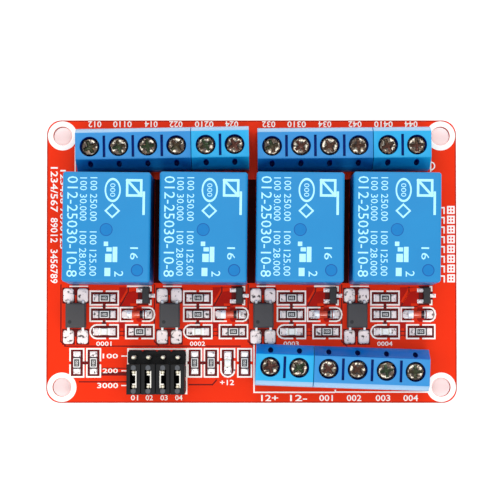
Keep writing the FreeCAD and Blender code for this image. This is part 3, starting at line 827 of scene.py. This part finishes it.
def glass_diode():
    tube_long = DIODE_LONG - 0.5
    return joined("glass_diode", [
        lying_cylinder("diode_tube", 0, tube_long, DIODE_WIDE - 0.16, 0.05, glass_material),
        lying_cylinder("diode_band", 0.95, 0.9, DIODE_WIDE - 0.1, 0.04, band_material),
        lying_cylinder("diode_left_cap", -DIODE_LONG / 2 + 0.45, 0.9, DIODE_WIDE, 0.1, tin_material),
        lying_cylinder("diode_right_cap", DIODE_LONG / 2 - 0.15, 0.3, DIODE_WIDE, 0.1, tin_material),
        lying_cylinder("diode_ring", DIODE_LONG / 2 - 0.6, 0.14, DIODE_WIDE - 0.04, 0.03, tin_material),
    ])


diode_places = [(middle + 4.57, ROW_2, 0) for middle in CHANNEL_X]
set_down(glass_diode(), "glass_diode_set", diode_places, ("diodes",))
diode_fillets = []
for x, y, turn in diode_places:
    diode_fillets += [(x + 1.72, y, 0), (x - 1.72, y, 180)]
set_down(solder_fillet(), "diode_solder", diode_fillets)

# Optocouplers.
# A grey moulded body with a dimple over its first pin, a fine seam half way up, and four
# tinned leads that bend down to their lands.
OPTO_X = -6.2
KNEE_SHARE, FOOT_SHARE = 0.3, 0.5
FOOT_HIGH = 0.04


def middle_of(node):
    """The middle of a CAD node's box."""
    low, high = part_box(node)
    return (low + high) / 2


def grained(name, first, second, size, dull, swing, depth=0.0, detail=3.0, roughness=0.5, **sockets):
    """A finish with one fine grain in its colour, its roughness and, if deep, its height."""
    finish = Finish(name)
    grain = finish.cloud(size, detail, roughness)
    sockets["Base_Color"] = finish.blend(grain, first, second)
    sockets["Roughness"] = dull + grain * swing
    if depth:
        sockets["Normal"] = finish.bump(grain, depth)
    return finish.surface(**sockets)


OPTO_Y = middle_of("optocouplers").y / MM
moulding_material = grained(
    "grey_moulding", paint(74, 72, 74), paint(56, 55, 57),
    size=0.12, dull=0.5, swing=0.2, depth=0.012, detail=4.0, roughness=0.7,
)
dimple_shade_material = mottled("dimple_shade", paint(30, 30, 32), paint(42, 42, 44), size=0.2, dull=0.7)


def bent_lead(side, x, wide, thick, shoulder, start, end):
    """A flat lead along Y: out of the body, down, and out again on its land."""
    top = TOP + shoulder
    knee = start + (end - start) * KNEE_SHARE
    foot = start + (end - start) * FOOT_SHARE
    lead = rounded_block("lead", (wide, knee - start, thick), (x, (start + knee) / 2, top), 0, tin_material)
    pick(lead, lambda point: point.y > (start + knee) / 2)
    bpy.ops.mesh.extrude_region_move(
        TRANSFORM_OT_translate={"value": (0, (foot - knee) * MM, (FOOT_HIGH - shoulder) * MM)}
    )
    bpy.ops.mesh.extrude_region_move(TRANSFORM_OT_translate={"value": (0, (end - foot) * MM, 0)})
    switch("OBJECT")
    soften(lead, 0.03, 1)
    if side < 0:
        lead.data.transform(turned(180))
    return lead


def optocoupler():
    body = rounded_block("opto_body", (3.6, 4.4, 2.0), (0, 0, TOP + 0.1), 0.0, moulding_material)
    narrow(body, TOP + 1, 0.93, 0.94)
    soften(body, 0.14, 3)
    seam = rounded_block("opto_seam", (3.62, 4.42, 0.05), (0, 0, TOP + 1.1), 0.02, moulding_material, 1)
    # The dimple is a flat dark disc: painted shade, not a hollow.
    dot = round_body(-1.0, -1.15, TOP + 2.102, 0.33, 0.02)
    dot.data.materials.append(dimple_shade_material)
    parts = [body, seam, dot]
    for side in (-1, 1):
        for x in (-1.27, 1.27):
            parts.append(bent_lead(side, x, 0.42, 0.2, 1.05, 2.1, 3.5))
    return joined("optocoupler", parts)


opto_places = [(middle + OPTO_X, OPTO_Y, 0) for middle in CHANNEL_X]
set_down(optocoupler(), "optocoupler_set", opto_places, ("optocouplers",))


def solder_pool():
    """Tin that has run round a flat lead and over its land."""
    pool = rounded_block("solder_pool", (1.9, 2.4, 1.1), (0, 0, 0), 0.5, solder_material, 4)
    pool.data.transform(Matrix.Translation((0, 0, (TOP + 0.02) * MM)) @ Matrix.Diagonal((1, 1, 0.36, 1)))
    return pool


pool_places = []
for middle in CHANNEL_X:
    for x in PADS_X:
        pool_places += [(middle + x, PADS_Y[0] + 0.06, 0), (middle + x, PADS_Y[1] - 0.06, 0)]
set_down(solder_pool(), "optocoupler_solder", pool_places)

# Small transistors.
# A black moulded body with two short leads on one side and one on the other.
transistor_material = grained(
    "black_moulding", paint(44, 44, 46), paint(26, 26, 28),
    size=0.12, dull=0.45, swing=0.2, depth=0.01, detail=4.0, roughness=0.7,
)


def small_transistor():
    body = rounded_block("transistor_body", (2.9, 1.3, 0.95), (0, 0, TOP + 0.1), 0.0, transistor_material)
    narrow(body, TOP + 0.5, 0.95, 0.86)
    soften(body, 0.07, 2)
    parts = [body]
    for side, x in ((1, -0.95), (1, 0.95), (-1, 0)):
        parts.append(bent_lead(side, x, 0.45, 0.12, 0.5, 0.6, 1.2))
    return joined("small_transistor", parts)


transistor_places = [(middle + 6.1, -6.05, 90) for middle in CHANNEL_X]
set_down(
    small_transistor(), "small_transistor_set", transistor_places, ("transistors",)
)


def small_solder():
    bead = rounded_block("small_solder", (0.85, 0.7, 0.2), (0, 0, TOP + 0.02), 0.0, solder_material)
    narrow(bead, TOP + 0.1, 0.6, 0.55)
    soften(bead, 0.12, 2)
    return bead


bead_places = []
for middle in CHANNEL_X:
    bead_places += [(middle + x, y, 0) for x, y in TRANSISTOR_PADS]
set_down(small_solder(), "transistor_solder", bead_places)

# Jumper header.
# A black moulding, notched between its cells, pressed over twelve square gilt pins
# whose ends are pointed.
header_material = grained(
    "header_plastic", paint(24, 23, 23), paint(13, 13, 14),
    size=0.2, dull=0.5, swing=0.15, depth=0.01, Specular_IOR_Level=0.18,
)
gilt_material = mottled(
    "gilt", plain(255, 250, 236), plain(224, 212, 176),
    size=0.4, dull=0.22, swing=0.1, swing_size=0.3, Metallic=0.6,
)


def merged_copy(node, name):
    """A CAD node's shape as one mesh with whole faces, to be finished further."""
    piece = bpy.data.objects.new(name, nodes[node].data.copy())
    piece.data.name = name
    piece.data.materials.clear()
    bpy.context.collection.objects.link(piece)
    take(piece)
    switch("EDIT")
    bpy.ops.mesh.select_all(action="SELECT")
    bpy.ops.mesh.remove_doubles(threshold=0.002 * MM)
    bpy.ops.mesh.dissolve_limited(angle_limit=math.radians(1))
    switch("OBJECT")
    return piece


header = merged_copy("header_base", "header_moulding")
soften(header, 0.08, 2)
keep(header, header_material, stands_for=("header_base",))
pins = merged_copy("header_pins", "pointed_header_pins")
soften(pins, 0.19, 1)
keep(pins, gilt_material, stands_for=("header_pins",))

# Jumpers.
# Each is a black cap over two pins, with a spring clip of folded strip inside that
# shows through the window in its top, and a pip moulded at each end of the window.
jumper_material = grained(
    "jumper_plastic", paint(13, 15, 18), paint(6, 7, 9),
    size=0.25, dull=0.42, swing=0.15, depth=0.01, Specular_IOR_Level=0.22,
)
# The pips are coloured lighter grey than the black cap.
pip_material = mottled("light_grey_pip_plastic", paint(84, 88, 96), paint(56, 60, 66), size=0.3, dull=0.4)
clip_material = mottled(
    "clip_plate", plain(255, 254, 248), plain(236, 230, 216),
    size=0.3, dull=0.2, swing=0.1, swing_size=0.2, Metallic=0.3,
)
for number in range(1, 5):
    node = f"jumper_{number}"
    low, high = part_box(node)
    merged_copy(node, f"{node}_shell")
    switch("EDIT")
    bpy.ops.mesh.select_all(action="SELECT")
    bpy.ops.mesh.separate(type="LOOSE")
    switch("OBJECT")
    clip_part, cap_part = sorted(bpy.context.selected_objects, key=lambda piece: piece.dimensions.y)
    soften(cap_part, 0.14, 2)
    cap_part.data.materials.append(jumper_material)
    soften(clip_part, 0.03, 1)
    clip_part.data.materials.append(clip_material)
    x, top = (low.x + high.x) / 2 / MM, high.z / MM
    pips = []
    for end, inward in ((high.y / MM, -1), (low.y / MM, 1)):
        straight = (x, end + inward * 0.73, top - 0.04)
        pips.append(rounded_block("pip", (0.84, 0.36, 0.1), straight, 0.04, pip_material))
        pips.append(round_body(x, end + inward * 0.56, top + 0.005, 0.42, 0.09))
        pips[-1].data.materials.append(pip_material)
    keep(joined(f"{node}_cap", [cap_part, clip_part, *pips]), None, node, (node,))

# Relays.
# A sealed blue cover, glued over its base, with a little draft and rounded edges. Its
# top has two round moulding marks, and ratings printed in white, here as plain numbers.
relay_blue = Finish("blue_relay_cover")
relay_mottle = relay_blue.cloud(5.0)
RELAY_TOP = relay_high.z / MM
RELAY_SEAM = 1.1
relay_top_colour = relay_blue.blend(relay_mottle, paint(24, 142, 206), paint(18, 134, 199))
# The cover's sides below its top edge are painted darker blue as shade, with a lighter line at the seam.
painted_shade_below_top = relay_blue.along("Z") < (RELAY_TOP - 0.6) * MM
seam = abs(relay_blue.along("Z") - (TOP + RELAY_SEAM) * MM) < 0.06 * MM
relay_side_painted_shade = relay_blue.blend(seam, paint(16, 108, 182), paint(6, 50, 100))
relay_material = relay_blue.surface(
    Base_Color=relay_blue.blend(painted_shade_below_top, relay_top_colour, relay_side_painted_shade),
    Roughness=0.34 + relay_mottle * 0.1,
    Normal=relay_blue.bump(relay_blue.cloud(0.5, detail=3.0), 0.012),
    Specular_IOR_Level=0.3,
)
relay_ink_material = mottled(
    "pale_relay_print", plain(178, 232, 252), plain(146, 214, 244),
    size=0.4, dull=0.45, swing=0.1, swing_size=0.2,
)
mark_material = mottled(
    "moulding_mark", paint(8, 128, 200), paint(4, 118, 190),
    size=1.0, dull=0.4, swing=0.1, swing_size=0.5, Specular_IOR_Level=0.2,
)
# The dark ring round each moulding mark is painted shade at the rim of its shallow hollow.
mark_rim_shade_material = mottled(
    "moulding_mark_rim_shade", paint(2, 78, 154), paint(8, 96, 174),
    size=0.8, dull=0.4, swing=0.1, swing_size=0.5, Specular_IOR_Level=0.2,
)
for number, middle in enumerate(CHANNEL_X, start=1):
    node = f"relay_{number}"
    cover = merged_copy(node, f"{node}_cover")
    soften(cover, 0.16, 3, angle=12)
    keep(cover, relay_material, stands_for=(node,))
    marks = Layer(f"{node}_moulding_marks", RELAY_TOP, 0.015)
    marks.disc(0, -0.47, 1.0, sides=32)
    marks.disc(5.35, -7.35, 0.9, sides=32)
    moulding_marks = marks.finished()
    # Rings of painted shade round the moulding marks.
    rims = Layer(f"{node}_mark_rims", RELAY_TOP, 0.018)
    rims.ring(0, -0.47, 1.02, 0.16)
    rims.ring(5.35, -7.35, 0.95, 0.2)
    mark_rims = rims.finished()
    prints = Layer(f"{node}_print", RELAY_TOP, INK_THICK)
    prints.ring(1.04, 6.3, 1.25, 0.26, stretch=1.5)
    prints.line([(-0.15, 2.75), (1.0, 3.85), (2.15, 2.75), (1.0, 1.65), (-0.15, 2.75)], 0.28)
    prints.patch(0.0, -2.9, 0.75, 0.75)
    prints.patch(1.55, -4.7, 0.8, 2.6)
    prints.patch(0.55, -3.85, 0.9, 0.7)
    prints.patch(0.45, -5.3, 1.1, 1.4)
    prints.patch(0.3, -7.7, 1.0, 1.4)
    prints.line([(3.5, 8.0), (5.9, 8.0), (5.9, 5.4), (3.5, 5.4), (3.5, 8.0), (5.9, 5.4)], 0.42)
    prints.line([(6.35, 5.9), (6.35, 2.3)], 0.42)
    parts = [prints.finished()]
    for text, x, y, tall, length in (
        ("012-25030-10-8", -5.8, 0.0, 1.8, 17.2),
        ("100 30.000", -3.95, 4.7, 1.2, 7.4),
        ("100 28.000", -3.95, -4.6, 1.2, 7.6),
        ("100 250.00", -2.2, 4.7, 1.2, 7.5),
        ("100 125.00", -2.2, -4.6, 1.2, 7.6),
        ("000", 1.04, 6.3, 0.9, 2.3),
        ("2", 2.25, -8.0, 1.5, 0.95),
        ("16", 4.8, -4.5, 1.35, 2.1),
    ):
        parts.append(figures(text, x, y, tall, length, RELAY_TOP, turn=-90, bold=0.0))
    label = joined(f"{node}_print", parts)
    spot = Matrix.Translation((middle * MM, RELAY_Y * MM, 0)) @ turned(RELAY_TURN)
    for piece, material in (
        (moulding_marks, mark_material), (mark_rims, mark_rim_shade_material), (label, relay_ink_material),
    ):
        piece.data.transform(spot)
        keep(piece, material)

# Relay pins and terminal contacts.
# Tinned pins that come through the board, and the tinned contact bars in the terminals.
dull_tin_material = grained(
    "dull_tin", plain(214, 214, 210), plain(176, 176, 172),
    size=0.4, dull=0.35, swing=0.15, detail=2.0, Metallic=0.85,
)
dress("relay_pins", dull_tin_material)
dress("terminal_contacts", dull_tin_material)

# Terminal housings.
# Blue mouldings, a four-pole and a two-pole one side by side on each run. Each pole has
# a bore over its screw, a wire entry in front and a small round hole in the back slope.
RUN_TURN = {"left": 1.0, "right": 0.5, "input": 178.0}
HOLE_BACK = -2.9
HOUSING_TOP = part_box("terminal_block_left_a")[1].z / MM


def housing_finish(name, colour, gloss=0.3, roughness=0.36):
    """Blue moulding with a soft gloss."""
    finish = Finish(name)
    mottling = finish.cloud(2.5)
    return finish.surface(
        Base_Color=finish.blend(mottling, paint(*colour), paint(*[value * 0.95 for value in colour])),
        Roughness=roughness + mottling * 0.12,
        Normal=finish.bump(finish.cloud(0.4, detail=3.0), 0.012),
        Specular_IOR_Level=gloss,
    )


HOUSING_COLOURS = {"a": (44, 146, 218), "b": (24, 176, 236)}
# The back slopes are tinted per run and block: painted light and shade.
BACK_SLOPE_LIGHT_AND_SHADE = {
    (False, "a"): (22, 138, 212), (False, "b"): (24, 196, 255),
    (True, "a"): (4, 118, 212), (True, "b"): (4, 150, 250),
}
outside_housing = {
    block: housing_finish(f"housing_{block}", colour) for block, colour in HOUSING_COLOURS.items()
}
# Painted shade in the bores, slots and back holes, and a painted highlight on the wire-side slope.
inside_painted_shade = housing_finish("housing_inside_painted_shade", (4, 62, 176), gloss=0.1)
wire_side_painted_highlight = housing_finish("housing_wire_side_highlight", (122, 188, 238), gloss=1.0, roughness=0.12)
BORE_REACH = 1.76
SLOT_PLACE, SLOT_HALF_WIDE, SLOT_HALF_LONG = 2.5, 0.28, 1.95
HOLE_RADIUS, HOLE_LONG, HOLE_MIDDLE = 0.46, 6, TOP + 8.2
LIP, HEAD_DEPTH = 0.12, 2.3


def tint_faces(housing, spots, turn):
    """Give the walls round the screws, the slots and the back holes painted shade, the wire-side slope a
    painted highlight and the back slope painted light and shade.
    """
    level = turned(-turn)
    for face in housing.data.polygons:
        normal = level @ face.normal
        slopes = normal.z > 0.2 and face.area > 2 * MM * MM
        if slopes and normal.y > 0.3:
            face.material_index = 2
        if slopes and normal.y < -0.3:
            face.material_index = 3
        for spot in spots:
            u, v, _ = level @ (face.center - spot) / MM
            in_bore = math.hypot(u, v) < BORE_REACH
            in_slot = abs(abs(u) - SLOT_PLACE) < SLOT_HALF_WIDE and abs(v) < SLOT_HALF_LONG
            in_hole = math.hypot(u, v - HOLE_BACK) < HOLE_RADIUS + 0.01
            below_lip = LIP < HOUSING_TOP - face.center.z / MM < HEAD_DEPTH
            if in_hole or ((in_bore or in_slot) and below_lip):
                face.material_index = 1


for side, turn in RUN_TURN.items():
    back = turned(turn) @ Vector((0, HOLE_BACK, 0))
    for block, poles in (("a", (1, 2, 3, 4)), ("b", (5, 6))):
        node = f"terminal_block_{side}_{block}"
        housing = merged_copy(node, f"{node}_housing")
        drills = []
        spots = []
        for pole in poles:
            spot = middle_of(f"terminal_screw_{side}_{pole}")
            spots.append(spot)
            x, y = spot.x / MM + back.x, spot.y / MM + back.y
            drills.append(round_body(x, y, HOLE_MIDDLE, HOLE_RADIUS, HOLE_LONG, sides=20))
        drill = joined("back_hole_drill", drills)
        take(housing)
        bpy.ops.object.modifier_add(type="BOOLEAN")
        cut = housing.modifiers[-1]
        cut.operation = "DIFFERENCE"
        cut.solver = "EXACT"
        cut.object = drill
        bpy.ops.object.modifier_apply(modifier=cut.name)
        bpy.data.objects.remove(drill)
        soften(housing, 0.1, 2)
        painted_back_slope_tone = BACK_SLOPE_LIGHT_AND_SHADE[side == "input", block]
        back_housing = housing_finish(f"{node}_back", painted_back_slope_tone, gloss=0.1)
        for material in (outside_housing[block], inside_painted_shade, wire_side_painted_highlight, back_housing):
            housing.data.materials.append(material)
        tint_faces(housing, spots, turn)
        keep(housing, None, stands_for=(node,))

# Terminal screws and clamps.
# Nickel-plated screws with a cross recess, each left at some turn of its own, and the
# plated steel clamps that they draw up against the contact bars.
SCREW_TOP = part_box("terminal_screw_left_1")[1].z / MM
nickel = Finish("yellowish_nickel")
from_axis = nickel.add("ShaderNodeTexCoord", output="UV")
radius = nickel.add("ShaderNodeVectorMath", {"operation": "LENGTH"}, {0: from_axis}, output="Value")
# The plate is yellowish brown, painted darker as a reflection of the dark bore round it, with
# painted glints. Its rim and the ring round the cross are painted shade with a few painted
# glints, and the cross is painted dark as shade, reddish or greenish as painted reflection.
glints = nickel.steps(nickel.cloud(0.55), 0.5, 0.62)
recess_reflection_hue = nickel.steps(nickel.cloud(5.0, detail=0.0), 0.4, 0.6)
rim_and_cross_shade = nickel.steps(radius, 1.18, 1.32).or_more(nickel.steps(radius, 0.98, 0.76) * 0.85)
plate_with_glints = nickel.blend(glints, paint(98, 82, 68), plain(255, 246, 224))
rim_glint_spots = nickel.steps(nickel.cloud(0.35), 0.57, 0.66)
rim_shade_tint = nickel.blend(rim_glint_spots, paint(18, 16, 22), paint(160, 130, 92))
recess_painted_shade = nickel.blend(recess_reflection_hue, paint(80, 34, 16), paint(34, 56, 20))
in_recess = nickel.along("Z") < (SCREW_TOP - 0.1) * MM
nickel_material = nickel.surface(
    Base_Color=nickel.blend(in_recess, nickel.blend(rim_and_cross_shade, plate_with_glints, rim_shade_tint), recess_painted_shade),
    Metallic=0.5,
    Roughness=0.25 + glints * 0.2,
    Normal=nickel.bump(nickel.cloud(0.6), 0.14),
)
zinc_material = grained(
    "zinc_plate", plain(210, 210, 206), plain(170, 170, 172),
    size=0.6, dull=0.3, swing=0.15, detail=2.0, Metallic=0.9,
)
# How far each cross is turned from upright, in degrees, from the first pole to the last.
SCREW_TURNS = {
    "left": (25, 15, 8, 40, 30, 30), "right": (20, 35, 30, 5, 25, 5), "input": (3, 12, 42, 40, 40, 20),
}
for side, screw_turns in SCREW_TURNS.items():
    for pole, screw_turn in enumerate(screw_turns, start=1):
        node = f"terminal_screw_{side}_{pole}"
        screw = merged_copy(node, f"{node}_plated")
        soften(screw, 0.13, 2)
        middle = middle_of(node)
        spread = screw.data.uv_layers.new(name="from_axis")
        for corner in screw.data.loops:
            outward = (screw.data.vertices[corner.vertex_index].co - middle) / MM
            spread.data[corner.index].uv = (outward.x, outward.y)
        spin = Matrix.Translation(middle) @ turned(screw_turn)
        screw.data.transform(spin @ Matrix.Translation(-middle))
        keep(screw, nickel_material, f"screw_{side}_{pole}", (node,))
        dress(f"wire_clamp_{side}_{pole}", zinc_material)

# Solder under the board.
# A cone of solder round each pin that comes through: five under each relay, one under
# each terminal contact and one under each header pin.
CONE_DEEP = 1.15
CONE_TIP, CONE_FOOT = 0.5, 1.15
LEG_BACK = -2.8
HEADER_PITCH = 2.54


def solder_cone():
    deselect()
    bpy.ops.mesh.primitive_cone_add(
        vertices=20, radius1=CONE_TIP * MM, radius2=CONE_FOOT * MM, depth=CONE_DEEP * MM,
        location=(0, 0, -CONE_DEEP / 2 * MM),
    )
    cone = settle()
    soften(cone, 0.3, 3)
    cone.data.materials.append(solder_material)
    return cone


cone_places = []
for middle in CHANNEL_X:
    for x, y in ((-6.0, -5.5), (6.0, -5.5), (0, -7.5), (-6.1, 6.7), (6.1, 6.7)):
        pin = turned(RELAY_TURN) @ Vector((x, y, 0))
        cone_places.append((middle + pin.x, RELAY_Y + pin.y, 0))
for side, turn in RUN_TURN.items():
    leg = turned(turn) @ Vector((0, LEG_BACK, 0))
    for pole in range(1, 7):
        spot = middle_of(f"terminal_screw_{side}_{pole}") / MM
        cone_places.append((spot.x + leg.x, spot.y + leg.y, 0))
for column in (-1.5, -0.5, 0.5, 1.5):
    for row in (-1, 0, 1):
        cone_places.append((HEADER_X + column * HEADER_PITCH, HEADER_Y + row * HEADER_PITCH, 0))
set_down(solder_cone(), "solder_cones", cone_places)

# Copper under the board.
# Wide tracks carry the switched current from each relay's contacts to its terminals, and
# narrow ones run to the coils and the header. Their outlines show through the mask.
under = Layer("copper_gaps_below", -0.012, 0.008)
COIL_TRACK = 0.35
BUS_Y = -14.0
for middle in CHANNEL_X:
    for x, far_x in ((-6.1, -4.9), (0.2, 0.1), (6.1, 5.1)):
        for edge in (-1.25, 1.25):
            under.line([(x + edge, 10.2), (far_x + edge, 16.6)], 0.16, middle)
    under.line([(-7.6, 10.2), (7.6, 10.2)], 0.16, middle)
    for coil_x, bus_x, bend_y in ((-6.0, -3.5, -5.0), (6.0, 3.0, -8.5)):
        slant = abs(coil_x - bus_x)
        track = [(coil_x, -1.4), (coil_x, bend_y), (bus_x, bend_y - slant), (bus_x, BUS_Y)]
        under.line(track, COIL_TRACK, middle)
under.line([(-28.3, BUS_Y), (27.9, BUS_Y)], COIL_TRACK)
for column in (-1.5, -0.5, 0.5, 1.5):
    x = HEADER_X + column * HEADER_PITCH
    under.line([(x, -15.2), (x, -13.4)], 0.3)
keep(under.finished(), bare_material)
